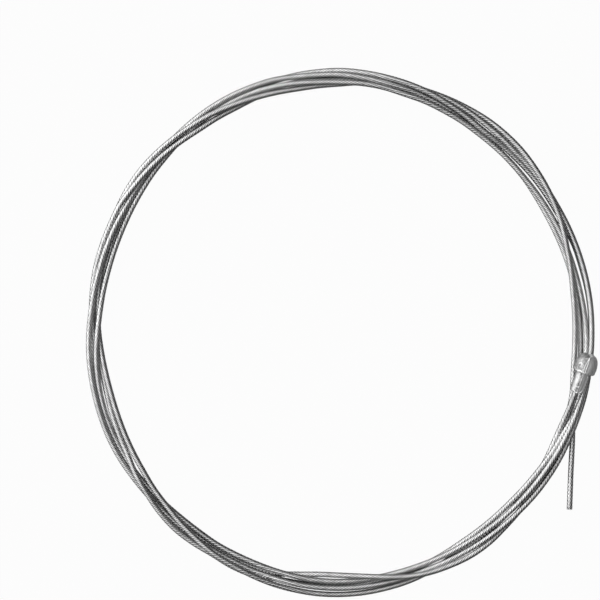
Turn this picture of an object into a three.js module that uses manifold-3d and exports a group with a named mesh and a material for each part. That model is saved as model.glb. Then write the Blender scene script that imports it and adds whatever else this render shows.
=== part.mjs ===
// A bicycle brake cable as it is bought: one length of stranded steel rope with a cast head on one end,
// wound into five turns that lie flat, with the head on top of the coil and the cut end lying beside it.
// Millimetres, Z up. The coil lies on Z 0, its centre is the group's own origin until the last step.
import * as THREE from 'three';
import Module from 'manifold-3d';
import { mergeVertices } from 'three/addons/utils/BufferGeometryUtils.js';

const wasm = await Module();
wasm.setup();

// The rope
const ROPE_DIAMETER = 1.5;
const ROPE_SIDES = 8;
const FACE_GAP = 0.3;

// The coil: a slightly oval band of five turns, two layers high
const COIL_ACROSS_X = 132.6;
const COIL_ACROSS_Y = 137.6;
const COIL_BAND = 5.2;
const COIL_HEIGHT = 3;
const COIL_CORNER = 0.9;
const COIL_STEPS = 120;

// The cast head, turned about its own axis: heights count from the flat shoulder
const HEAD_DIAMETER = 6.1;
const HEAD_HEIGHT = 5;
const HEAD_WIDEST_AT = 1.4;
const HEAD_CROWN_FLAT = 0.85;
const SHOULDER_RADIUS = 0.45;
const NECK_DIAMETER = 3.72;
const NECK_LENGTH = 5.5;
const NECK_TAPER = 0.06;
const NECK_FILLET = 0.3;
const NECK_LIP = 0.35;
const HEAD_STEPS = 48;
const ARC_STEPS = 4;

// What the two halves of the die leave: a fin round the joint line and a nick across the crown
const FIN_HEIGHT = 0.1;
const FIN_THICKNESS = 0.22;
const NICK_WIDTH = 1.7;
const NICK_DEPTH = 0.65;

// Where the head lies: the middle of its shoulder, and the way its axis points on the table
const SHOULDER_AT_X = 62.8;
const SHOULDER_AT_Y = -10.3;
const HEAD_AIM = THREE.MathUtils.degToRad(70.5);
const HEAD_ROLL = THREE.MathUtils.degToRad(6);

// The rope's free stretches, by hand: from the neck's end down onto the coil, and the straight cut end
const LEAD_ROUTE = [
  [60.15, -17.75, 4.5],
  [59.15, -20.35, 3.7],
  [58.05, -22.95, 2.9],
  [56.95, -25.5, 2.2],
];
const TAIL_ROUTE = [
  [60.52, -24.2, 0.75],
  [60.42, -28.3, 0.75],
  [60.22, -32.6, 0.75],
  [60.0, -37.0, 0.75],
  [59.85, -41.2, 0.75],
  [59.68, -46.1, 0.75],
];
const ROUTE_STEP = 3;

const steel = new THREE.MeshStandardMaterial({ color: 0x9a9a9a, roughness: 0.35, metalness: 1 });
const castZinc = new THREE.MeshStandardMaterial({ color: 0xa7a7a7, roughness: 0.55, metalness: 0.9 });

// A closed geometry as a solid: corners that meet are shared, and the slivers at a pole are dropped
function solidOf(geometry) {
  const bare = geometry.clone();
  bare.deleteAttribute('normal');
  bare.deleteAttribute('uv');
  const merged = mergeVertices(bare);
  const index = merged.index.array;
  const triangles = [];
  for (let i = 0; i < index.length; i += 3) {
    const [a, b, c] = [index[i], index[i + 1], index[i + 2]];
    if (a !== b && b !== c && c !== a) triangles.push(a, b, c);
  }
  const vertProperties = new Float32Array(merged.attributes.position.array);
  return new wasm.Manifold(new wasm.Mesh({ numProp: 3, vertProperties, triVerts: new Uint32Array(triangles) }));
}

function geometryOf(solid) {
  const mesh = solid.getMesh();
  const geometry = new THREE.BufferGeometry();
  geometry.setAttribute('position', new THREE.BufferAttribute(new Float32Array(mesh.vertProperties), 3));
  geometry.setIndex(Array.from(mesh.triVerts));
  geometry.computeVertexNormals();
  return geometry;
}

// The outline of the head and its neck from the axis below to the axis above, grown by a fin's height
function headProfile(grow) {
  const head = HEAD_DIAMETER / 2 + grow;
  const neck = NECK_DIAMETER / 2 + grow;
  const crown = HEAD_HEIGHT + grow;
  const profile = new THREE.Path();
  profile.moveTo(0, -NECK_LENGTH);
  profile.lineTo(neck - NECK_TAPER - NECK_LIP, -NECK_LENGTH);
  profile.quadraticCurveTo(neck - NECK_TAPER, -NECK_LENGTH, neck - NECK_TAPER, NECK_LIP - NECK_LENGTH);
  profile.lineTo(neck, -NECK_FILLET - grow);
  profile.quadraticCurveTo(neck, -grow, neck + NECK_FILLET, -grow);
  profile.lineTo(head - SHOULDER_RADIUS, -grow);
  profile.quadraticCurveTo(head - 0.05, -grow, head - 0.05, SHOULDER_RADIUS);
  profile.lineTo(head, HEAD_WIDEST_AT);
  profile.bezierCurveTo(head - 0.05, crown - 1.6, head - 0.75, crown - 0.1, HEAD_CROWN_FLAT, crown);
  profile.lineTo(0, crown);
  return profile.getPoints(ARC_STEPS * 2);
}

function headGeometry() {
  const body = solidOf(new THREE.LatheGeometry(headProfile(0), HEAD_STEPS));

  const half = headProfile(FIN_HEIGHT);
  const otherHalf = half.slice(1, -1).reverse().map((point) => new THREE.Vector2(-point.x, point.y));
  const fin = new THREE.ExtrudeGeometry(new THREE.Shape([...half, ...otherHalf]), {
    depth: FIN_THICKNESS,
    bevelEnabled: false,
  });
  fin.translate(0, 0, -FIN_THICKNESS / 2);
  fin.rotateY(Math.PI / 2);

  const nick = new THREE.ExtrudeGeometry(
    new THREE.Shape([
      new THREE.Vector2(0, HEAD_HEIGHT - NICK_DEPTH),
      new THREE.Vector2(NICK_WIDTH / 2, HEAD_HEIGHT + FIN_HEIGHT * 2),
      new THREE.Vector2(-NICK_WIDTH / 2, HEAD_HEIGHT + FIN_HEIGHT * 2),
    ]),
    { depth: HEAD_DIAMETER, bevelEnabled: false },
  );
  nick.translate(0, 0, -HEAD_DIAMETER / 2);
  return geometryOf(body.add(solidOf(fin)).subtract(solidOf(nick)));
}

// The band's section, closed on itself: flat below and above, with rounded edges
function coilSection(grow) {
  const outer = (COIL_ACROSS_X + COIL_ACROSS_Y) / 4 + grow;
  const inner = outer - COIL_BAND - 2 * grow;
  const low = -grow;
  const high = COIL_HEIGHT + grow;
  const section = new THREE.Path();
  section.moveTo(inner + COIL_CORNER, low);
  section.lineTo(outer - COIL_CORNER, low);
  section.absarc(outer - COIL_CORNER, low + COIL_CORNER, COIL_CORNER, -Math.PI / 2, 0);
  section.absarc(outer - COIL_CORNER, high - COIL_CORNER, COIL_CORNER, 0, Math.PI / 2);
  section.absarc(inner + COIL_CORNER, high - COIL_CORNER, COIL_CORNER, Math.PI / 2, Math.PI);
  section.absarc(inner + COIL_CORNER, low + COIL_CORNER, COIL_CORNER, Math.PI, Math.PI * 1.5);
  return section.getPoints(ARC_STEPS / 2);
}

function coilGeometry(grow = 0) {
  const ring = new THREE.LatheGeometry(coilSection(grow), COIL_STEPS);
  const meanAcross = (COIL_ACROSS_X + COIL_ACROSS_Y) / 2;
  ring.rotateX(Math.PI / 2);
  ring.scale(COIL_ACROSS_X / meanAcross, COIL_ACROSS_Y / meanAcross, 1);
  return ring;
}

// A plain tube along points that were chosen by hand
function ropeGeometry(points) {
  const route = new THREE.CatmullRomCurve3(points.map((point) => new THREE.Vector3(...point)));
  const section = new THREE.Shape();
  section.absarc(0, 0, ROPE_DIAMETER / 2, 0, Math.PI * 2);
  return new THREE.ExtrudeGeometry(section, {
    steps: Math.max(2, Math.round(route.getLength() / ROUTE_STEP)),
    curveSegments: ROPE_SIDES / 2,
    extrudePath: route,
  });
}

const cable = new THREE.Group();
cable.name = 'bicycle_brake_cable';

function addPiece(name, geometry, material, parent = cable) {
  const piece = new THREE.Mesh(geometry, material);
  piece.name = name;
  parent.add(piece);
  return piece;
}

// The head rests on the coil by its widest rim and by the end of its neck, so its axis dips to the neck
const restDrop = (HEAD_DIAMETER - NECK_DIAMETER) / 2 + NECK_TAPER;
const headDip = Math.atan(restDrop / (HEAD_WIDEST_AT + NECK_LENGTH - NECK_LIP));
const headSeat = new THREE.Group();
const shoulderHeight = HEAD_DIAMETER / 2 / Math.cos(headDip) - HEAD_WIDEST_AT * Math.sin(headDip);
headSeat.position.set(SHOULDER_AT_X, SHOULDER_AT_Y, COIL_HEIGHT + FACE_GAP + FIN_HEIGHT + shoulderHeight);
headSeat.rotation.order = 'ZYX';
headSeat.rotation.set(headDip, 0, HEAD_AIM - Math.PI / 2);
const head = addPiece('cable_head', headGeometry(), castZinc, headSeat);
head.rotation.y = HEAD_ROLL;
cable.add(headSeat);

addPiece('cable_coil', coilGeometry(), steel);

// Each free stretch is cut where it meets the coil, a gap away from it
const coilRoom = solidOf(coilGeometry(FACE_GAP));
headSeat.updateMatrixWorld(true);
const neckExit = headSeat.localToWorld(new THREE.Vector3(0, -NECK_LENGTH - FACE_GAP, 0));
const leadRoute = [neckExit.toArray(), ...LEAD_ROUTE];
addPiece('cable_lead', geometryOf(solidOf(ropeGeometry(leadRoute)).subtract(coilRoom)), steel);
addPiece('cable_tail', geometryOf(solidOf(ropeGeometry(TAIL_ROUTE)).subtract(coilRoom)), steel);

// The origin is under the middle of the whole cable, on the surface that it lies on
const box = new THREE.Box3().setFromObject(cable, true);
cable.position.set(-(box.min.x + box.max.x) / 2, -(box.min.y + box.max.y) / 2, -box.min.z);

export default cable;
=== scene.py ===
"""A bicycle brake cable, wound into a flat coil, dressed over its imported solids.

The rope is one stranded tube that follows the cable from the cast head, through five turns, to the cut end.
"""

import logging
import math
from collections.abc import Callable
from dataclasses import dataclass, field
from enum import Enum

import bmesh
import bpy
import numpy as np
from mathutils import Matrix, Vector, noise


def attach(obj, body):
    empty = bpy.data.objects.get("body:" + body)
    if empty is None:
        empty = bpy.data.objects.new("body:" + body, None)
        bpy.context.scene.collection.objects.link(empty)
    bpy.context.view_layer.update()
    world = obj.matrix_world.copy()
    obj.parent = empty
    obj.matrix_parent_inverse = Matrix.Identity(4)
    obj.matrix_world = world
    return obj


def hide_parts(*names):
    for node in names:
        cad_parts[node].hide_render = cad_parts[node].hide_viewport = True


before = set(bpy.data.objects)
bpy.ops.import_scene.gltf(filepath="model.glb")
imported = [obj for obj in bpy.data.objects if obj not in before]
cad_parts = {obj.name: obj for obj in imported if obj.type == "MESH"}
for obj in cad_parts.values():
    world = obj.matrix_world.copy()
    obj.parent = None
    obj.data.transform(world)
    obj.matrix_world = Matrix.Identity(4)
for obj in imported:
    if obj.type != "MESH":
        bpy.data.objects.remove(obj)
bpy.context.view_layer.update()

LOG = logging.getLogger("brake_cable")
MM = 0.001
FULL_TURN_DEG = 360.0
TINY = 1e-6
BODY = "root"

# Three numbers along the axes, and values by their place on a ramp
Triple = tuple[float, float, float]
Stops = tuple[tuple[float, float], ...]

# The painted shade, and its value on metal without a mark: the pits' painted shade lies below it, and scuffs
# and painted light above
SHADE = "shade"
PLAIN_SHADE = 0.5

# A Mix node's colour sockets by number, because its sockets share their names
MIX_ONE, MIX_TWO, MIX_RESULT = 6, 7, 2

# How many corners a face of the rope's tube has
QUAD = 4

# The head's axis: the middle of its flat shoulder, and of its neck's end
SHOULDER_MM = (62.713, -10.3, 6.243)
NECK_END_MM = (60.909, -15.393, 5.212)


class Slot(Enum):
    """The record's material slots."""

    ROPE = "rope_steel"
    HEAD = "head_metal"


class Over(Enum):
    """Which of two turns lies over the other, in the order that a crossing names them."""

    FIRST = 1
    SECOND = -1


@dataclass(frozen=True)
class View:
    """Where the camera stands: straight above the coil, as in the photograph."""

    across_mm: float = 156.25
    centre_x_mm: float = -10.66
    centre_y_mm: float = 8.33
    height_mm: float = 870.0
    plan_height_mm: float = 1.5
    sensor_mm: float = 36.0
    nearest_mm: float = 10.0

    @property
    def lens_mm(self) -> float:
        """The focal length that shows the view's width at the plan's height."""
        return self.sensor_mm * (self.height_mm - self.plan_height_mm) / self.across_mm

    def place(self) -> bpy.types.Object:
        """Makes the camera and gives it to the scene.

        Returns:
            The camera object.
        """
        data = bpy.data.cameras.new("camera")
        data.sensor_width = self.sensor_mm
        data.lens = self.lens_mm
        data.clip_start = self.nearest_mm * MM
        camera = bpy.data.objects.new("camera", data)
        camera.location = (self.centre_x_mm * MM, self.centre_y_mm * MM, self.height_mm * MM)
        bpy.context.scene.collection.objects.link(camera)
        bpy.context.scene.camera = camera
        return camera

    def flatten(self, points: np.ndarray) -> np.ndarray:
        """Moves points in or out, so that each is seen where the plan has it.

        Args:
            points: Route points in millimetres, heights included.

        Returns:
            The points, moved in plan.
        """
        centre = np.array([self.centre_x_mm, self.centre_y_mm])
        scale = (self.height_mm - points[:, 2:3]) / (self.height_mm - self.plan_height_mm)
        moved = points.copy()
        moved[:, :2] = centre + (points[:, :2] - centre) * scale
        return moved


@dataclass(frozen=True)
class Crossing:
    """Two turns and which of them is on top, between two azimuths in degrees."""

    first: int
    second: int
    top: Over
    high: float
    low: float


@dataclass
class CoilRoute:
    """The rope's centreline: five turns by their radius every five degrees, and which lies on which."""

    rope_mm: float = 1.5
    ring_step_mm: float = 0.7
    step_deg: float = 1.25
    # The settling: its rounds, the last of them without sag, and how far a pressed pair parts in each
    rounds: int = 700
    last_rounds: int = 60
    sag_mm: float = 0.05
    lift_share: float = 0.6
    sink_share: float = 0.4
    smooth_width: int = 9
    last_smooth_width: int = 7
    # A crossing comes on over some degrees, from this share of its height
    ramp_deg: float = 6.0
    ramp_start: float = 0.1
    # Where the lead joins the first turn, and where the last one leaves for the tail
    join_azimuth: float = 333.0
    leave_azimuth: float = 339.4
    # The turns' radii, read off the photograph, in its pixels
    pixels_per_mm: float = 3.84
    listed_step_deg: float = 5.0
    shift_x_mm: float = -0.087
    turns: list[list[float]] = field(default_factory=lambda: [
        # Each starts at azimuth 360 and goes down, for the rope runs clockwise, seen from above
        [241.0, 241.0, 241.0, 240.9, 240.1, 239.7, 241.2, 243.0, 244.7, 246.0, 247.2, 248.4,
         249.8, 251.9, 255.4, 258.3, 260.1, 261.6, 262.4, 262.6, 261.9, 260.9, 259.1, 257.1,
         255.3, 252.1, 249.2, 246.0, 243.9, 241.4, 239.9, 238.7, 237.9, 237.7, 238.4, 239.9,
         241.9, 243.7, 245.6, 247.7, 250.0, 252.7, 255.1, 256.6, 257.1, 256.5, 255.4, 254.2,
         252.9, 251.0, 249.3, 248.0, 247.0, 247.3, 248.1, 250.5, 252.8, 254.8, 256.0, 256.0,
         254.9, 253.3, 252.2, 251.0, 251.1, 250.9, 250.5, 250.6, 250.8, 251.0, 251.2, 251.3],
        [251.2, 251.3, 250.8, 249.9, 249.2, 248.4, 247.9, 247.4, 247.1, 246.8, 246.5, 246.2,
         246.0, 246.3, 246.5, 247.0, 247.8, 248.8, 249.5, 249.4, 248.6, 247.6, 246.6, 246.0,
         245.8, 244.9, 244.8, 245.6, 246.8, 248.2, 249.0, 249.2, 248.9, 248.1, 246.8, 245.2,
         243.0, 241.5, 240.8, 240.4, 240.6, 241.2, 242.4, 243.9, 245.8, 247.5, 249.8, 251.8,
         253.3, 254.6, 254.9, 253.9, 252.4, 250.6, 249.7, 249.5, 248.4, 246.4, 245.6, 244.2,
         243.1, 241.7, 241.0, 240.5, 240.0, 240.2, 240.6, 241.1, 241.3, 241.9, 242.8, 244.2],
        [245.6, 246.6, 247.3, 248.2, 247.0, 244.8, 243.3, 241.8, 241.0, 240.5, 240.9, 241.6,
         242.7, 244.9, 247.2, 248.8, 250.6, 253.0, 254.4, 254.4, 254.4, 255.0, 258.2, 258.2,
         256.6, 257.2, 257.3, 255.4, 252.4, 249.6, 245.8, 244.1, 242.9, 241.7, 241.7, 244.0,
         247.6, 250.0, 251.6, 253.1, 253.7, 254.0, 254.6, 253.1, 251.8, 250.4, 248.6, 247.1,
         247.2, 247.5, 249.3, 252.4, 253.6, 253.3, 252.8, 253.4, 254.3, 255.2, 256.0, 256.8,
         257.4, 257.9, 257.5, 256.4, 254.2, 251.7, 248.8, 245.2, 241.3, 238.5, 236.0, 235.0],
        [234.6, 234.9, 236.4, 239.8, 241.8, 243.6, 246.2, 248.6, 250.6, 252.8, 255.1, 257.8,
         258.8, 257.9, 256.4, 253.2, 248.8, 245.2, 243.3, 243.3, 246.0, 249.8, 250.6, 250.4,
         249.8, 249.0, 248.2, 247.6, 247.8, 248.8, 250.4, 251.2, 251.4, 251.2, 250.4, 249.0,
         247.2, 245.6, 244.6, 244.1, 244.2, 244.8, 245.8, 247.0, 248.6, 250.4, 252.4, 254.4,
         256.4, 258.2, 259.5, 259.4, 260.6, 261.1, 261.4, 260.3, 258.9, 257.4, 255.4, 252.5,
         249.8, 247.2, 246.8, 246.7, 247.1, 247.1, 247.1, 247.8, 249.2, 249.4, 250.2, 250.6],
        [250.4, 251.0, 251.6, 252.1, 252.0, 252.2, 252.9, 253.2, 253.3, 253.0, 253.0, 252.9,
         252.8, 252.7, 252.7, 253.9, 254.8, 255.8, 256.3, 256.3, 255.9, 255.0, 254.2, 253.2,
         252.6, 252.3, 252.0, 252.0, 252.5, 253.2, 254.1, 254.5, 254.2, 253.7, 253.2, 252.6,
         251.5, 250.2, 249.7, 249.3, 248.9, 248.8, 248.7, 249.6, 251.3, 253.5, 255.6, 257.5,
         259.1, 260.2, 260.6, 260.7, 259.1, 258.1, 257.3, 255.4, 253.5, 251.8, 250.0, 248.0,
         245.5, 243.0, 241.5, 240.3, 239.5, 238.0, 237.1, 237.0, 237.3, 237.8, 238.3, 239.0],
        [239.7, 240.8, 241.8, 242.9, 247.9, 255.9],
    ])
    crossings: list[Crossing] = field(default_factory=lambda: [
        Crossing(1, 2, Over.SECOND, 346, 280),
        Crossing(1, 2, Over.FIRST, 250, 200),
        Crossing(1, 2, Over.SECOND, 199, 150),
        Crossing(1, 2, Over.FIRST, 149, 105.5),
        Crossing(1, 2, Over.SECOND, 104.5, 60),
        Crossing(1, 3, Over.SECOND, 338, 300),
        Crossing(1, 3, Over.FIRST, 285, 169.5),
        Crossing(1, 3, Over.SECOND, 168.5, 126),
        Crossing(1, 3, Over.FIRST, 125, 48),
        Crossing(1, 3, Over.SECOND, 47, 15),
        Crossing(1, 4, Over.FIRST, 348, 325),
        Crossing(1, 4, Over.SECOND, 302, 270),
        Crossing(1, 4, Over.FIRST, 265, 95),
        Crossing(1, 4, Over.SECOND, 92, 56),
        Crossing(1, 4, Over.FIRST, 55, 0),
        Crossing(1, 5, Over.SECOND, 320, 269),
        Crossing(1, 5, Over.FIRST, 268, 200),
        Crossing(1, 5, Over.SECOND, 185, 149),
        Crossing(1, 5, Over.FIRST, 147, 112),
        Crossing(1, 5, Over.SECOND, 100, 62),
        Crossing(1, 6, Over.FIRST, 348, 334),
        Crossing(2, 3, Over.FIRST, 360, 250),
        Crossing(2, 3, Over.SECOND, 249, 196),
        Crossing(2, 3, Over.FIRST, 195, 142),
        Crossing(2, 3, Over.SECOND, 141, 116),
        Crossing(2, 3, Over.FIRST, 115, 70),
        Crossing(2, 3, Over.SECOND, 45, 0),
        Crossing(2, 4, Over.FIRST, 360, 305),
        Crossing(2, 4, Over.SECOND, 302, 270),
        Crossing(2, 4, Over.FIRST, 269, 105),
        Crossing(2, 4, Over.SECOND, 104, 30),
        Crossing(2, 4, Over.FIRST, 25, 0),
        Crossing(2, 5, Over.FIRST, 360, 315),
        Crossing(2, 5, Over.SECOND, 235, 105),
        Crossing(2, 5, Over.FIRST, 79, 0),
        Crossing(2, 6, Over.FIRST, 360, 334),
        Crossing(3, 4, Over.FIRST, 360, 305),
        Crossing(3, 4, Over.SECOND, 302, 271),
        Crossing(3, 4, Over.FIRST, 268, 105),
        Crossing(3, 4, Over.SECOND, 104, 61),
        Crossing(3, 4, Over.FIRST, 60, 0),
        Crossing(3, 5, Over.FIRST, 360, 330),
        Crossing(3, 5, Over.SECOND, 300, 253),
        Crossing(3, 5, Over.FIRST, 252, 196),
        Crossing(3, 5, Over.SECOND, 195, 151),
        Crossing(3, 5, Over.FIRST, 150, 100),
        Crossing(3, 5, Over.SECOND, 99, 62),
        Crossing(3, 5, Over.FIRST, 50, 0),
        Crossing(3, 6, Over.FIRST, 360, 334),
        Crossing(4, 5, Over.SECOND, 360, 303),
        Crossing(4, 5, Over.FIRST, 302, 272),
        Crossing(4, 5, Over.SECOND, 271, 80),
        Crossing(4, 5, Over.FIRST, 79, 0),
        Crossing(4, 6, Over.FIRST, 360, 334),
        Crossing(5, 6, Over.FIRST, 360, 334),
    ])
    lead: list[Triple] = field(default_factory=lambda: [
        (60.06, -17.75, 4.5),
        (59.06, -20.35, 3.7),
        (57.96, -22.95, 2.9),
        (56.86, -25.5, 2.2),
    ])
    tail: list[Triple] = field(default_factory=lambda: [
        (60.43, -24.2, 0.75),
        (60.33, -28.3, 0.75),
        (60.13, -32.6, 0.75),
        (59.91, -37.0, 0.75),
        (59.76, -41.2, 0.75),
        (59.59, -46.1, 0.75),
    ])

    def heading(self) -> Triple:
        """Tells which way the cut end points.

        Returns:
            The direction of the tail's last stretch.
        """
        last, before = self.tail[-1], self.tail[-2]
        return (last[0] - before[0], last[1] - before[1], last[2] - before[2])

    def radii(self) -> tuple[np.ndarray, np.ndarray]:
        """Reads the turns as one line.

        Returns:
            The travel in degrees from azimuth 360 of the first turn, and the radius there in millimetres.
        """
        listed = np.concatenate([np.array(turn) for turn in self.turns])
        travel = np.arange(len(listed)) * self.listed_step_deg
        fine = np.arange(0.0, travel[-1], self.step_deg)
        return fine, smooth_through(travel, listed, fine) / self.pixels_per_mm

    def contacts(self, radius: np.ndarray) -> tuple[np.ndarray, np.ndarray, np.ndarray]:
        """Finds the places where one turn lies on another.

        Args:
            radius: The radius at each step of travel.

        Returns:
            For each place the upper turn's step, the lower turn's step, and how much higher the upper one's
            centreline has to be, in millimetres.
        """
        per_turn = round(FULL_TURN_DEG / self.step_deg)
        upper, lower, gaps = [], [], []
        for crossing in self.crossings:
            azimuth = np.arange(crossing.high, crossing.low - TINY, -self.step_deg)
            index = np.round((FULL_TURN_DEG - azimuth) / self.step_deg).astype(int)
            one = index + per_turn * (crossing.first - 1)
            two = index + per_turn * (crossing.second - 1)
            listed = (one < len(radius)) & (two < len(radius))
            one, two, azimuth = one[listed], two[listed], azimuth[listed]
            apart = np.abs(radius[one] - radius[two])
            touching = apart < self.rope_mm
            one, two, azimuth, apart = one[touching], two[touching], azimuth[touching], apart[touching]
            ease = np.minimum(crossing.high - azimuth, azimuth - crossing.low) / self.ramp_deg
            first_on_top = crossing.top is Over.FIRST
            upper.append(one if first_on_top else two)
            lower.append(two if first_on_top else one)
            gaps.append(np.sqrt(self.rope_mm**2 - apart**2) * np.clip(ease + self.ramp_start, 0.0, 1.0))
        return np.concatenate(upper), np.concatenate(lower), np.concatenate(gaps)

    def settle(self, radius: np.ndarray) -> np.ndarray:
        """Lets the turns settle on the table and on each other.

        Args:
            radius: The radius at each step of travel.

        Returns:
            The height of the centreline at each, in millimetres.
        """
        floor = self.rope_mm / 2
        height = np.full(len(radius), floor)
        over, under, gap = self.contacts(radius)
        for count in range(self.rounds):
            sag = self.sag_mm if count < self.rounds - self.last_rounds else 0.0
            height = np.maximum(floor, smoothed(height, self.smooth_width) - sag)
            lack = height[under] + gap - height[over]
            short = lack > 0.0
            lift, sink = np.zeros(len(height)), np.zeros(len(height))
            np.maximum.at(lift, over[short], lack[short])
            np.maximum.at(sink, under[short], lack[short])
            height = np.maximum(floor, height + self.lift_share * lift - self.sink_share * sink)
        return np.maximum(floor, smoothed(height, self.last_smooth_width))

    def points(self, neck_points: np.ndarray, view: View) -> np.ndarray:
        """Makes the whole centreline, from inside the neck to the cut end.

        Args:
            neck_points: Two points on the neck's axis, one inside it and one just past its end.
            view: The view, in whose plan the turns are drawn.

        Returns:
            Points in metres, close and evenly spaced.
        """
        travel, radius = self.radii()
        height = self.settle(radius)
        LOG.info("coil height %.2f mm", height.max() + self.rope_mm / 2)
        angle = np.radians(FULL_TURN_DEG - travel)
        plan = np.stack(
            [radius * np.cos(angle) + self.shift_x_mm, radius * np.sin(angle), height], axis=1
        )
        first = FULL_TURN_DEG - self.join_azimuth
        last = FULL_TURN_DEG * len(self.turns) - self.leave_azimuth
        coiled = view.flatten(plan)[(travel >= first) & (travel <= last)]
        line = np.concatenate([neck_points, np.array(self.lead), coiled, np.array(self.tail)])
        return even_line(line, self.ring_step_mm) * MM


def smoothed(values: np.ndarray, width: int) -> np.ndarray:
    """Averages each value with those beside it, nearer ones counting more.

    Args:
        values: The values along a line.
        width: How many of them go into each average, an odd number.

    Returns:
        The averages.
    """
    weights = np.hanning(width + 2)[1:-1]
    return np.convolve(np.pad(values, width // 2, mode="edge"), weights / weights.sum(), "valid")


def smooth_through(x: np.ndarray, y: np.ndarray, at: np.ndarray) -> np.ndarray:
    """Reads a smooth line through evenly spaced values.

    Args:
        x: Where the values stand, evenly spaced.
        y: The values.
        at: Where to read the line.

    Returns:
        The line's values there.
    """
    step = x[1] - x[0]
    place = np.clip((at - x[0]) / step, 0.0, len(x) - 1 - TINY)
    low = place.astype(int)
    t = place - low
    padded = np.concatenate([[2 * y[0] - y[1]], y, [2 * y[-1] - y[-2]]])
    a, b, c, d = (padded[low + ahead] for ahead in range(4))
    return 0.5 * (2 * b + (c - a) * t + (2 * a - 5 * b + 4 * c - d) * t**2 + (3 * b - a - 3 * c + d) * t**3)


def even_line(points: np.ndarray, spacing: float, samples: int = 12) -> np.ndarray:
    """Draws a smooth line through points and sets it out evenly.

    Args:
        points: The points, in order.
        spacing: The distance between the new ones, about.
        samples: How finely each stretch between two points is drawn first.

    Returns:
        The evenly spaced points.
    """
    padded = np.concatenate([[2 * points[0] - points[1]], points, [2 * points[-1] - points[-2]]])
    pieces = []
    for index in range(len(points) - 1):
        a, b, c, d = padded[index : index + 4]
        chord = [max(TINY, float(np.linalg.norm(q - p)) ** 0.5) for p, q in ((a, b), (b, c), (c, d))]
        t1, t2, t3 = chord[0], chord[0] + chord[1], sum(chord)
        t = np.linspace(t1, t2, samples, endpoint=False)[:, None]
        a1 = (t1 - t) / t1 * a + t / t1 * b
        a2 = (t2 - t) / (t2 - t1) * b + (t - t1) / (t2 - t1) * c
        a3 = (t3 - t) / (t3 - t2) * c + (t - t2) / (t3 - t2) * d
        b1 = (t2 - t) / t2 * a1 + t / t2 * a2
        b2 = (t3 - t) / (t3 - t1) * a2 + (t - t1) / (t3 - t1) * a3
        pieces.append((t2 - t) / (t2 - t1) * b1 + (t - t1) / (t2 - t1) * b2)
    line = np.concatenate([*pieces, points[-1:]])
    run = np.concatenate([[0.0], np.cumsum(np.linalg.norm(np.diff(line, axis=0), axis=1))])
    count = max(2, round(run[-1] / spacing))
    even = np.linspace(0.0, run[-1], count + 1)
    return np.stack([np.interp(even, run, line[:, axis]) for axis in range(3)], axis=1)


def lumpy(points: np.ndarray, scale: float, shift: Triple = (0.0, 0.0, 0.0)) -> np.ndarray:
    """Reads a smooth noise at each point.

    Args:
        points: The points.
        scale: How fine the noise is.
        shift: How far the points are moved in the noise.

    Returns:
        The noise's values, between minus one and one.
    """
    return np.array([noise.noise(Vector(point) * scale + Vector(shift)) for point in points])


def select_only(*pieces: bpy.types.Object) -> None:
    """Selects the pieces and nothing else, and makes the first one active."""
    bpy.ops.object.select_all(action="DESELECT")
    for piece in pieces:
        piece.select_set(True)
    bpy.context.view_layer.objects.active = pieces[0]


def pick_vertices(mesh: bpy.types.Mesh, chosen: Callable[[Vector], bool]) -> None:
    """Selects vertices in edit mode by their place.

    Args:
        mesh: The mesh, which is in edit mode.
        chosen: Tells whether the vertex at a place is one of them.
    """
    shape = bmesh.from_edit_mesh(mesh)
    for vertex in shape.verts:
        vertex.select_set(chosen(vertex.co))
    shape.select_flush_mode()
    bmesh.update_edit_mesh(mesh)


def grey(value: float) -> tuple[float, float, float, float]:
    """Makes an opaque grey."""
    return (value, value, value, 1.0)


def set_stops(node: bpy.types.Node, stops: Stops) -> None:
    """Gives a colour ramp its greys.

    Args:
        node: The colour ramp's node.
        stops: Places on the ramp and the grey at each.
    """
    elements = node.color_ramp.elements
    middle = 0.5
    while len(elements) < len(stops):
        elements.new(middle)
    for element, (place, value) in zip(elements, stops):
        element.position = place
        element.color = grey(value)


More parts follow.
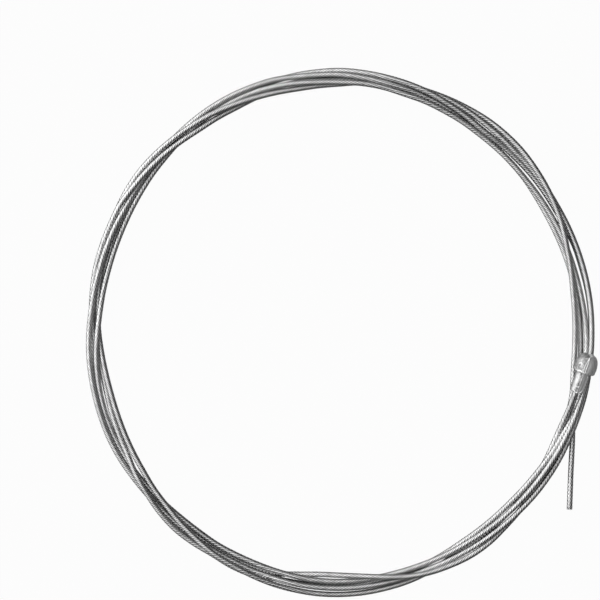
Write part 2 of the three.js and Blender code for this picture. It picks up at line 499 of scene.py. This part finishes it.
class Nodes:
    """A short way to lay out a material's nodes."""

    def __init__(self, name: str) -> None:
        """Starts a material with one Principled shader.

        Args:
            name: The material's name.
        """
        self.material = bpy.data.materials.new(name)
        self.material.use_nodes = True
        self.tree = self.material.node_tree
        self.shader = self.tree.nodes["Principled BSDF"]

    def add(self, kind: str, **settings: object) -> bpy.types.Node:
        """Adds a node and sets its options and its sockets' values.

        Args:
            kind: The node's type.
            **settings: Options by name, and sockets by name with underscores for spaces.

        Returns:
            The node.
        """
        node = self.tree.nodes.new(kind)
        for key, value in settings.items():
            if hasattr(node, key):
                setattr(node, key, value)
            else:
                node.inputs[key.replace("_", " ")].default_value = value
        return node

    def join(self, output: bpy.types.NodeSocket, target: bpy.types.NodeSocket) -> None:
        """Links one socket to another."""
        self.tree.links.new(output, target)

    def feed(self, **outputs: bpy.types.NodeSocket) -> None:
        """Links sockets to the shader's own, each by its name with underscores for spaces."""
        for name, output in outputs.items():
            self.join(output, self.shader.inputs[name.replace("_", " ")])

    def stretch(self, place: bpy.types.NodeSocket, scale: Triple) -> bpy.types.NodeSocket:
        """Scales coordinates.

        Args:
            place: The coordinates.
            scale: What each of them is multiplied by.

        Returns:
            The socket of the scaled coordinates.
        """
        node = self.add("ShaderNodeMapping", Scale=scale)
        self.join(place, node.inputs["Vector"])
        return node.outputs["Vector"]

    def grain(self, place: bpy.types.NodeSocket, **settings: float) -> bpy.types.NodeSocket:
        """Adds a noise texture.

        Args:
            place: The coordinates that it is read at.
            **settings: Its sockets' values by name.

        Returns:
            The noise's socket.
        """
        node = self.add("ShaderNodeTexNoise", **settings)
        self.join(place, node.inputs["Vector"])
        return node.outputs["Fac"]

    def ramp(self, source: bpy.types.NodeSocket, stops: Stops, factor: float = 1.0) -> bpy.types.NodeSocket:
        """Turns a value into a grey by a colour ramp.

        Args:
            source: The value.
            stops: Places on the ramp and the grey at each.
            factor: What every grey is multiplied by.

        Returns:
            The grey's socket.
        """
        node = self.add("ShaderNodeValToRGB")
        set_stops(node, tuple((place, factor * value) for place, value in stops))
        self.join(source, node.inputs["Fac"])
        return node.outputs["Color"]

    def bump(
        self,
        height: bpy.types.NodeSocket,
        strength: float,
        depth_mm: float,
        under: bpy.types.NodeSocket | None = None,
    ) -> bpy.types.NodeSocket:
        """Adds relief that is too fine to be modelled.

        Args:
            height: The relief's height.
            strength: How much of it shows.
            depth_mm: Its depth in millimetres.
            under: The relief that it lies on, if any.

        Returns:
            The normal's socket.
        """
        node = self.add("ShaderNodeBump", Strength=strength, Distance=depth_mm * MM)
        self.join(height, node.inputs["Height"])
        if under is not None:
            self.join(under, node.inputs["Normal"])
        return node.outputs["Normal"]

    def multiply(self, one: bpy.types.NodeSocket, two: bpy.types.NodeSocket) -> bpy.types.NodeSocket:
        """Multiplies two colours.

        Args:
            one: The first.
            two: The second.

        Returns:
            The product's socket.
        """
        node = self.add("ShaderNodeMix", data_type="RGBA", blend_type="MULTIPLY")
        node.inputs["Factor"].default_value = 1.0
        self.join(one, node.inputs[MIX_ONE])
        self.join(two, node.inputs[MIX_TWO])
        return node.outputs[MIX_RESULT]


@dataclass(frozen=True)
class RopeSteel:
    """Bright drawn wire: each wire has its own tone, with fine drawing marks along it, and painted shade in
    the furrows between the wires.
    """

    tone: float = 0.8
    # Shares of the tone by the wires' noise, how grime dulls them, and the painted shade that darkens the
    # furrows between them
    tone_shares: Stops = ((0.32, 0.76), (0.5, 1.0), (0.68, 1.2))
    dulled: Stops = ((0.3, 0.84), (0.7, 1.0))
    painted_furrow_shade: Stops = ((0.0, 1.0), (0.22, 0.9), (0.5, 0.15), (0.78, 0.9), (1.0, 1.0))
    roughness: Stops = ((0.3, 0.24), (0.7, 0.4))
    # How often the tones and the drawing marks change: along the rope and round it
    tone_scale: Triple = (0.6, 1.1, 1.0)
    mark_scale: Triple = (2.0, 14.0, 1.0)
    mark_depth_mm: float = 0.03

    def material(self) -> bpy.types.Material:
        """Makes the material.

        Returns:
            The material.
        """
        nodes = Nodes("rope_steel")
        coordinates = nodes.add("ShaderNodeTexCoord")
        map_place = coordinates.outputs["UV"]
        wires = nodes.grain(nodes.stretch(map_place, self.tone_scale), Scale=1.0, Detail=2.0, Roughness=0.5)
        grime = nodes.grain(coordinates.outputs["Object"], Scale=90.0, Detail=3.0, Roughness=0.6)
        worn = nodes.multiply(nodes.ramp(wires, self.tone_shares, self.tone), nodes.ramp(grime, self.dulled))
        parts = nodes.add("ShaderNodeSeparateXYZ")
        nodes.join(map_place, parts.inputs["Vector"])
        across = nodes.add("ShaderNodeMath", operation="FRACT")
        nodes.join(parts.outputs["Y"], across.inputs[0])
        # Painted shade: the base colour is darkened in the furrows between the wires
        furrow_shaded = nodes.multiply(worn, nodes.ramp(across.outputs["Value"], self.painted_furrow_shade))
        drawn = nodes.grain(nodes.stretch(map_place, self.mark_scale), Scale=1.0, Detail=2.0)
        relief = nodes.bump(drawn, strength=0.15, depth_mm=self.mark_depth_mm)
        nodes.feed(Base_Color=furrow_shaded, Roughness=nodes.ramp(drawn, self.roughness), Normal=relief)
        nodes.shader.inputs["Metallic"].default_value = 1.0
        return nodes.material


@dataclass(frozen=True)
class CastZinc:
    """Pale grey casting metal: satin, with a fine grain, dull patches and bright scuffs, painted light in
    the same pale grey, and pits painted dark as their shade.
    """

    tone: float = 0.42
    scuff_and_light_grey: float = 0.95
    # Shares of the tone by the patches, how dark the painted shade of the pits comes out, and how bright the
    # scuffs and the painted light
    tone_shares: Stops = ((0.3, 0.5), (0.5, 1.0), (0.7, 1.6))
    # Painted shade: the colour of the pits and the nick goes almost to black
    painted_pit_shade: Stops = ((0.0, 0.06), (PLAIN_SHADE, 1.0), (1.0, 1.0))
    scuffs_and_painted_light: Stops = ((PLAIN_SHADE, 0.0), (0.95, 1.0))
    roughness: Stops = ((0.3, 0.48), (0.7, 0.73))
    patch_depth_mm: float = 0.12
    grain_depth_mm: float = 0.04

    def material(self) -> bpy.types.Material:
        """Makes the material.

        Returns:
            The material.
        """
        nodes = Nodes("cast_zinc")
        place = nodes.add("ShaderNodeTexCoord").outputs["Object"]
        patches = nodes.grain(place, Scale=900.0, Detail=5.0, Roughness=0.62, Distortion=0.4)
        shade = nodes.add("ShaderNodeAttribute", attribute_name=SHADE).outputs["Fac"]
        dark = nodes.multiply(
            nodes.ramp(patches, self.tone_shares, self.tone), nodes.ramp(shade, self.painted_pit_shade)
        )
        # Scuffs and painted light both mix the tone towards the same pale grey
        tone = nodes.add("ShaderNodeMix", data_type="RGBA")
        nodes.join(nodes.ramp(shade, self.scuffs_and_painted_light), tone.inputs["Factor"])
        nodes.join(dark, tone.inputs[MIX_ONE])
        tone.inputs[MIX_TWO].default_value = grey(self.scuff_and_light_grey)
        grain = nodes.grain(place, Scale=3200.0, Detail=3.0, Roughness=0.6)
        coarse = nodes.bump(patches, strength=0.8, depth_mm=self.patch_depth_mm)
        relief = nodes.bump(grain, strength=0.4, depth_mm=self.grain_depth_mm, under=coarse)
        rough = nodes.ramp(grain, self.roughness)
        nodes.feed(Base_Color=tone.outputs[MIX_RESULT], Roughness=rough, Normal=relief)
        nodes.shader.inputs["Metallic"].default_value = 1.0
        return nodes.material


@dataclass
class StrandedRope:
    """The rope: eight wires laid round a core, as a tube with the wires' own section."""

    route: CoilRoute
    view: View
    material: bpy.types.Material
    shoulder_mm: Triple
    neck_end_mm: Triple
    ends: list[bpy.types.Object]
    length_m: float = 2.07
    diameter_mm: float = 1.5
    inside_neck_mm: float = 1.0
    past_neck_mm: float = 0.6
    wire_mm: float = 0.42
    wire_ring_mm: float = 0.54
    valley_mm: float = 0.66
    outer_wires: int = 8
    points_per_wire: int = 4
    lay_length_mm: float = 7.6

    def section(self) -> np.ndarray:
        """Works out how far each point of the section is from the rope's middle.

        Returns:
            The distance in millimetres for each point round the rope.
        """
        centre = self.wire_ring_mm
        pitch = 2 * math.pi / self.outer_wires
        count = self.outer_wires * self.points_per_wire
        angle = np.arange(count) * 2 * math.pi / count
        offset = (angle + pitch / 2) % pitch - pitch / 2
        inside = np.clip((self.wire_mm / 2) ** 2 - (centre * np.sin(offset)) ** 2, 0.0, None)
        return np.maximum(self.valley_mm, centre * np.cos(offset) + np.sqrt(inside))

    def build(self) -> bpy.types.Object:
        """Returns:
            The rope's object.
        """
        neck = np.array(self.neck_end_mm)
        back = np.array(self.shoulder_mm) - neck
        back /= np.linalg.norm(back)
        neck_points = np.array([neck + back * self.inside_neck_mm, neck - back * self.past_neck_mm])
        line = self.route.points(neck_points, self.view)
        steps = np.linalg.norm(np.diff(line, axis=0), axis=1)
        run = np.concatenate([[0.0], np.cumsum(steps)])
        LOG.info("rope length %.4f m in %d rings", run[-1], len(line))
        rope = self.tube(line, run)
        rope.data.materials.append(self.material)
        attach(rope, BODY)
        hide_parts("cable_coil", "cable_lead", "cable_tail")
        return rope

    def tube(self, line: np.ndarray, run: np.ndarray) -> bpy.types.Object:
        """Makes the tube's mesh along the line.

        Args:
            line: The centreline in metres.
            run: The distance run at each point.

        Returns:
            The tube's object, in the collection.
        """
        tangent = np.gradient(line, axis=0)
        tangent /= np.linalg.norm(tangent, axis=1)[:, None]
        side = np.cross([0.0, 0.0, 1.0], tangent)
        side /= np.linalg.norm(side, axis=1)[:, None]
        up = np.cross(tangent, side)
        reach = self.section() * MM
        count = len(reach)
        around = np.arange(count) * 2 * math.pi / count
        twist = -2 * math.pi * run / (self.lay_length_mm * MM)
        angle = around[None, :] + twist[:, None]
        offset = side[:, None, :] * np.cos(angle)[..., None] + up[:, None, :] * np.sin(angle)[..., None]
        vertices = (line[:, None, :] + offset * reach[None, :, None]).reshape(-1, 3)
        rings = len(line)
        ring = np.arange(rings - 1)[:, None] * count
        here = np.arange(count)[None, :]
        after = (here + 1) % count
        quads = np.stack([ring + here, ring + after, ring + count + after, ring + count + here], axis=2)
        faces = quads.reshape(-1, 4).tolist()
        faces.append(list(range(count))[::-1])
        faces.append(list(range((rings - 1) * count, rings * count)))
        mesh = bpy.data.meshes.new("stranded_rope")
        mesh.from_pydata(vertices.tolist(), [], faces)
        self.unwrap(mesh, run, count)
        mesh.shade_smooth()
        mesh.update()
        rope = bpy.data.objects.new("stranded_rope", mesh)
        bpy.context.scene.collection.objects.link(rope)
        return rope

    def unwrap(self, mesh: bpy.types.Mesh, run: np.ndarray, count: int) -> None:
        """Gives the tube a map: millimetres along it, and wires round it.

        Args:
            mesh: The tube's mesh.
            run: The distance run at each ring, in metres.
            count: How many points a ring has.
        """
        corners = np.empty(len(mesh.loops), dtype=np.int32)
        mesh.loops.foreach_get("vertex_index", corners)
        along = run[corners // count] / MM
        round_it = (corners % count).astype(float)
        number = np.arange(len(corners))
        on_side = number < (len(run) - 1) * count * QUAD
        far_corner = np.isin(number % QUAD, (1, 2))
        round_it[on_side & far_corner & (corners % count == 0)] = count
        layer = mesh.uv_layers.new(name="along")
        layer.data.foreach_set("uv", np.stack([along, round_it / self.points_per_wire], axis=1).ravel())


@dataclass(frozen=True)
class WireRing:
    """Wires of one thickness that stand in a ring, or one in the middle."""

    count: int
    reach_mm: float
    thickness_mm: float


@dataclass
class CutEnd:
    """The cut end of the rope: the core and the wires round it, each sheared off at its own length."""

    material: bpy.types.Material
    end_mm: Triple
    heading: Triple
    buried_mm: float = 0.5
    sides: int = 12
    edge_mm: float = 0.03
    slant_aside: float = 0.15
    smooth_deg: float = 35.0
    rings: tuple[WireRing, ...] = (WireRing(1, 0.0, 0.64), WireRing(8, 0.53, 0.4))
    lengths_mm: tuple[float, ...] = (0.12, 0.2, 0.08, 0.16, 0.26, 0.1, 0.18)
    slants_mm: tuple[float, ...] = (0.06, -0.05, 0.09, 0.03, -0.08)

    def build(self) -> bpy.types.Object:
        """Makes the wires as one piece.

        Returns:
            The object of the joined wires.
        """
        heading = Vector(self.heading).normalized()
        side = heading.cross(Vector((0.0, 0.0, 1.0))).normalized()
        up = side.cross(heading)
        wires = []
        for ring in self.rings:
            for step in range(ring.count):
                turn = 2 * math.pi * step / ring.count
                out = side * (ring.reach_mm * math.cos(turn)) + up * (ring.reach_mm * math.sin(turn))
                place = Vector(self.end_mm) + out
                wires.append(self.wire(place, ring.thickness_mm, heading, side, len(wires)))
        select_only(*wires)
        bpy.ops.object.join()
        joined = bpy.context.active_object
        joined.name = "cut_wires"
        joined.data.materials.append(self.material)
        bpy.ops.object.transform_apply(location=True, rotation=True, scale=True)
        bpy.ops.object.shade_smooth_by_angle(angle=math.radians(self.smooth_deg))
        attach(joined, BODY)
        return joined

    def wire(
        self, place: Vector, thickness: float, heading: Vector, side: Vector, index: int
    ) -> bpy.types.Object:
        """Makes one wire's stub, with a slanting, rounded cut.

        Args:
            place: The wire's place on the end of the rope, in millimetres.
            thickness: The wire's thickness in millimetres.
            heading: The way the rope's end points.
            side: A direction across it.
            index: The wire's number, which picks its length and slant.

        Returns:
            The wire's object.
        """
        out = self.lengths_mm[index % len(self.lengths_mm)]
        slant = self.slants_mm[index % len(self.slants_mm)]
        depth = self.buried_mm + out
        centre = place + heading * (out - depth / 2)
        bpy.ops.object.select_all(action="DESELECT")
        bpy.ops.mesh.primitive_cylinder_add(
            vertices=self.sides,
            radius=thickness / 2 * MM,
            depth=depth * MM,
            location=centre * MM,
            rotation=heading.to_track_quat("Z", "Y").to_euler(),
        )
        wire = bpy.context.active_object
        bpy.ops.object.mode_set(mode="EDIT")
        bpy.ops.mesh.select_mode(type="VERT")
        bpy.ops.mesh.select_all(action="DESELECT")
        pick_vertices(wire.data, lambda place: place.z > 0.0 and place.x > 0.0)
        bpy.ops.transform.translate(value=(heading * slant + side * slant * self.slant_aside) * MM)
        pick_vertices(wire.data, lambda place: place.z > 0.0)
        bpy.ops.mesh.bevel(offset=self.edge_mm * MM, segments=2, affect="EDGES")
        bpy.ops.object.mode_set(mode="OBJECT")
        return wire


@dataclass
class Studio:
    """A plain white table under soft light from the upper left."""

    table_m: float = 6.0
    table_grey: float = 0.2
    table_roughness: float = 0.9
    key_place: Triple = (-0.78, 0.4, 0.55)
    key_power: float = 2.6
    key_size: float = 0.7
    fill_place: Triple = (0.7, -0.3, 0.8)
    fill_power: float = 0.75
    fill_size: float = 0.8
    # The way to the sky's bright side, and its grey from the dark side to the bright one
    sky_lean: Triple = (-0.7, 0.33, 0.63)
    sky_stops: Stops = ((0.0, 0.0), (0.4, 0.02), (0.55, 0.55), (0.73, 1.0))
    sky_strength: float = 1.5
    seen_white: float = 0.97
    reflected_white: float = 0.02

    def build(self) -> None:
        """Makes the table, the lamps and the sky."""
        self.table()
        self.lamp("key", self.key_place, self.key_size, self.key_power)
        self.lamp("fill", self.fill_place, self.fill_size, self.fill_power)
        self.sky()
        bpy.context.scene.view_settings.view_transform = "Standard"

    def sky(self) -> None:
        """Makes the sky, which is bright on one side and dark on the other."""
        world = bpy.data.worlds.new("sky")
        bpy.context.scene.world = world
        world.use_nodes = True
        tree = world.node_tree
        background = tree.nodes["Background"]
        direction = tree.nodes.new("ShaderNodeTexCoord")
        lean = tree.nodes.new("ShaderNodeVectorMath")
        lean.operation = "DOT_PRODUCT"
        lean.inputs[1].default_value = self.sky_lean
        tree.links.new(direction.outputs["Generated"], lean.inputs[0])
        ramp = tree.nodes.new("ShaderNodeValToRGB")
        set_stops(ramp, self.sky_stops)
        tree.links.new(lean.outputs["Value"], ramp.inputs["Fac"])
        tree.links.new(ramp.outputs["Color"], background.inputs["Color"])
        background.inputs["Strength"].default_value = self.sky_strength

    def lamp(self, name: str, place: Triple, size: float, power: float) -> None:
        """Adds a square lamp that faces the cable.

        Args:
            name: The lamp's name.
            place: Where it hangs, in metres.
            size: The length of its side.
            power: Its power in watts.
        """
        data = bpy.data.lights.new(name, "AREA")
        data.size = size
        data.energy = power
        lamp = bpy.data.objects.new(name, data)
        lamp.location = place
        lamp.rotation_euler = Vector(place).to_track_quat("Z", "Y").to_euler()
        bpy.context.scene.collection.objects.link(lamp)

    def table(self) -> None:
        """Adds the table top, which the camera sees as plain white and reflections see far darker."""
        bpy.ops.object.select_all(action="DESELECT")
        bpy.ops.mesh.primitive_plane_add(size=self.table_m, location=(0.0, 0.0, 0.0))
        top = bpy.context.active_object
        top.name = "table_top"
        nodes = Nodes("white_table")
        nodes.shader.inputs["Base Color"].default_value = grey(self.table_grey)
        nodes.shader.inputs["Roughness"].default_value = self.table_roughness
        path = nodes.add("ShaderNodeLightPath")
        glossy = nodes.add("ShaderNodeMath", operation="MULTIPLY")
        glossy.inputs[1].default_value = self.reflected_white
        nodes.join(path.outputs["Is Glossy Ray"], glossy.inputs[0])
        straight = nodes.add("ShaderNodeMath", operation="MAXIMUM")
        nodes.join(path.outputs["Is Camera Ray"], straight.inputs[0])
        nodes.join(path.outputs["Is Transmission Ray"], straight.inputs[1])
        seen = nodes.add("ShaderNodeMath", operation="MULTIPLY")
        seen.inputs[1].default_value = self.seen_white
        nodes.join(straight.outputs["Value"], seen.inputs[0])
        share = nodes.add("ShaderNodeMath", operation="MAXIMUM")
        nodes.join(seen.outputs["Value"], share.inputs[0])
        nodes.join(glossy.outputs["Value"], share.inputs[1])
        white = nodes.add("ShaderNodeEmission", Color=grey(1.0), Strength=1.0)
        mix = nodes.add("ShaderNodeMixShader")
        nodes.join(share.outputs["Value"], mix.inputs["Fac"])
        nodes.join(nodes.shader.outputs["BSDF"], mix.inputs[1])
        nodes.join(white.outputs["Emission"], mix.inputs[2])
        nodes.join(mix.outputs["Shader"], nodes.tree.nodes["Material Output"].inputs["Surface"])
        top.data.materials.append(nodes.material)


@dataclass(frozen=True)
class Mark:
    """A mark on the head's upper side, along a line of two or more points: one that casting left, with
    painted light or shade on it.

    The points count from the middle of the shoulder: along the head's axis to the crown, and to its right.
    The width and the rise are in millimetres, a shade of one is the brightest, and broken is how torn it is.
    A shade below nothing paints a pit's shade, and one above it a scuff or painted light.
    """

    line: tuple[tuple[float, float], ...]
    width: float
    rise: float = 0.0
    shade: float = 0.0
    broken: float = 0.0

    def reach(self, along: np.ndarray, right: np.ndarray) -> np.ndarray:
        """Works out how far each place is inside the mark.

        Args:
            along: Distances along the axis.
            right: Distances to its right.

        Returns:
            One on the line, falling to nothing about twice the width away.
        """
        nearest = np.full(len(along), np.inf)
        for (a0, r0), (a1, r1) in zip(self.line[:-1], self.line[1:]):
            span = (a1 - a0) ** 2 + (r1 - r0) ** 2
            t = np.clip(((along - a0) * (a1 - a0) + (right - r0) * (r1 - r0)) / span, 0.0, 1.0)
            gap = np.hypot(along - a0 - t * (a1 - a0), right - r0 - t * (r1 - r0))
            nearest = np.minimum(nearest, gap)
        return np.exp(-((nearest / self.width) ** 2))


@dataclass
class CastHead:
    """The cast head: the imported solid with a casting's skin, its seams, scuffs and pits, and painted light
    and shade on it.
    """

    finish: CastZinc
    shoulder_mm: Triple
    neck_end_mm: Triple
    weld_mm: float = 0.001
    voxel_mm: float = 0.085
    soften_share: float = 0.5
    soften_rounds: int = 2
    # The skin's noises: how high each is, and how many waves it has in a millimetre
    lump_mm: float = 0.03
    lump_scale: float = 1.3
    grain_mm: float = 0.012
    grain_scale: float = 5.5
    grain_shade: float = 0.06
    torn_scale: float = 4.0
    torn_shift: Triple = (9.0, 0.0, 0.0)
    torn_strength: float = 3.2
    torn_most: float = 1.2
    # The right half is painted paler, as painted light where the lamps leave it dark, and marks fade out
    # over the side that faces down
    right_painted_light: float = 0.42
    right_fade_mm: float = 0.4
    down_fade_mm: float = 0.6
    marks: tuple[Mark, ...] = (
        # The ridge where the die's halves met, from the shoulder over the crown
        Mark(((0.1, 0.0), (1.2, -0.25), (2.2, -0.28), (3.6, 0.0), (4.8, 0.35)), 0.13, 0.1, 0.8, 0.35),
        Mark(((0.4, -0.5), (1.4, -0.62), (2.3, -0.85)), 0.12, 0.05, 0.6, 0.6),
        # Torn metal beside it, and at the shoulder's edge
        Mark(((1.7, -1.35), (2.3, -1.2), (2.6, -1.6), (2.2, -1.95)), 0.16, 0.04, 0.75, 0.6),
        Mark(((0.3, -1.6), (0.5, -1.1), (0.45, -0.8), (0.2, -0.25)), 0.22, 0.05, 1.0, 0.3),
        Mark(((0.75, -2.75), (0.2, -2.0), (0.1, -1.4)), 0.1, 0.03, 0.6),
        # A pit painted dark as the shade in it
        Mark(((1.3, -1.9), (0.9, -1.5)), 0.12, -0.03, -0.5, 0.4),
        # The nick across the crown, painted dark as the shade in it, and the torn edge beside it
        Mark(((4.3, -0.9), (4.7, -0.2), (5.1, 0.7)), 0.16, -0.05, -0.5, 0.4),
        Mark(((3.9, -0.8), (4.1, -0.1)), 0.12, 0.04, 0.6, 0.5),
        # The neck: a left half painted bright as the light on it, pits painted dark as their shade along the
        # middle, and a fin down its right side and round the end, raised and painted bright as its highlight
        Mark(((-0.5, -1.05), (-2.6, -1.0), (-5.0, -0.95)), 0.6, 0.0, 0.5, 0.1),
        Mark(((-3.0, -0.25), (-3.4, 0.05)), 0.17, -0.05, -0.9, 0.4),
        Mark(((-3.5, -0.55), (-3.6, -0.2)), 0.12, -0.03, -0.7, 0.4),
        Mark(((-4.3, -0.4), (-4.4, -0.05)), 0.15, -0.05, -0.9, 0.3),
        Mark(((-4.9, -0.6), (-5.2, -0.1)), 0.13, -0.04, -0.8, 0.3),
        Mark(((-0.3, -0.45), (-0.6, -0.4)), 0.16, -0.05, -1.0),
        Mark(((-0.4, 1.45), (-2.4, 1.5), (-4.3, 1.45), (-5.1, 1.15)), 0.15, 0.18, 1.4, 0.1),
        Mark(((-5.1, 1.2), (-5.35, 0.8), (-5.4, 0.1), (-5.3, -0.5)), 0.16, 0.14, 1.2, 0.2),
    )

    def build(self) -> bpy.types.Object:
        """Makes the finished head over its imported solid.

        Returns:
            The head's object.
        """
        head = bpy.data.objects.new("cast_head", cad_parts["cable_head"].data.copy())
        bpy.context.scene.collection.objects.link(head)
        select_only(head)
        bpy.ops.object.mode_set(mode="EDIT")
        bpy.ops.mesh.select_all(action="SELECT")
        bpy.ops.mesh.remove_doubles(threshold=self.weld_mm * MM)
        bpy.ops.object.mode_set(mode="OBJECT")
        skin = head.modifiers.new("skin", "REMESH")
        skin.mode = "VOXEL"
        skin.voxel_size = self.voxel_mm * MM
        bpy.ops.object.modifier_apply(modifier=skin.name)
        softened = head.modifiers.new("softened", "SMOOTH")
        softened.factor = self.soften_share
        softened.iterations = self.soften_rounds
        bpy.ops.object.modifier_apply(modifier=softened.name)
        self.roughen(head.data)
        head.data.shade_smooth()
        head.data.materials.clear()
        head.data.materials.append(self.finish.material())
        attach(head, BODY)
        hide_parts("cable_head")
        return head

    def measure(self, points: np.ndarray) -> tuple[np.ndarray, np.ndarray, np.ndarray]:
        """Measures places from the middle of the shoulder, in the head's own directions.

        Args:
            points: The places in millimetres.

        Returns:
            The distances along the axis to the crown, to its right, and upwards.
        """
        shoulder = np.array(self.shoulder_mm)
        axis = shoulder - np.array(self.neck_end_mm)
        axis /= np.linalg.norm(axis)
        above = np.array([0.0, 0.0, 1.0]) - axis * axis[2]
        above /= np.linalg.norm(above)
        away = points - shoulder
        return away @ axis, away @ np.cross(axis, above), away @ above

    def roughen(self, mesh: bpy.types.Mesh) -> None:
        """Gives the skin its lumps, its grain and its marks, and paints the marks' shade and the right
        half's painted light.

        Args:
            mesh: The head's fine mesh.
        """
        count = len(mesh.vertices)
        points, normals = np.empty(count * 3), np.empty(count * 3)
        mesh.vertices.foreach_get("co", points)
        mesh.vertices.foreach_get("normal", normals)
        points, normals = points.reshape(-1, 3) / MM, normals.reshape(-1, 3)
        along, right, up = self.measure(points)
        grain = lumpy(points, self.grain_scale)
        torn = lumpy(points, self.torn_scale, self.torn_shift)
        rise = self.lump_mm * lumpy(points, self.lump_scale) + self.grain_mm * grain
        # Painted light: the right half's colour is lifted towards the pale grey of the scuffs
        painted_right_lift = self.right_painted_light * np.clip(right / self.right_fade_mm, 0.0, 1.0)
        shade = PLAIN_SHADE + self.grain_shade * grain + painted_right_lift
        top = np.clip(up / self.down_fade_mm + 1.0, 0.0, 1.0)
        for mark in self.marks:
            whole = np.clip(1.0 + mark.broken * torn * self.torn_strength, 0.0, self.torn_most)
            here = mark.reach(along, right) * top * whole
            rise += mark.rise * here
            shade += mark.shade * PLAIN_SHADE * here
        mesh.vertices.foreach_set("co", ((points + normals * rise[:, None]) * MM).ravel())
        layer = mesh.attributes.new(SHADE, "FLOAT", "POINT")
        layer.data.foreach_set("value", np.clip(shade, 0.0, 1.0))
        mesh.update()


def main() -> None:
    """Builds the camera, the head, the cut end, the rope and the studio, in that order."""
    logging.basicConfig(level=logging.INFO, format="%(name)s: %(message)s")
    view = View()
    view.place()
    head = CastHead(CastZinc(), SHOULDER_MM, NECK_END_MM).build()
    LOG.info("head: %s, %d faces", head.name, len(head.data.polygons))
    route, steel = CoilRoute(), RopeSteel().material()
    end = CutEnd(steel, route.tail[-1], route.heading()).build()
    LOG.info("cut end: %s, %d faces", end.name, len(end.data.polygons))
    rope = StrandedRope(route, view, steel, SHOULDER_MM, NECK_END_MM, [head, end]).build()
    LOG.info("rope: %s, %d faces", rope.name, len(rope.data.polygons))
    Studio().build()
    LOG.info("studio set")


if __name__ == "__main__":
    main()
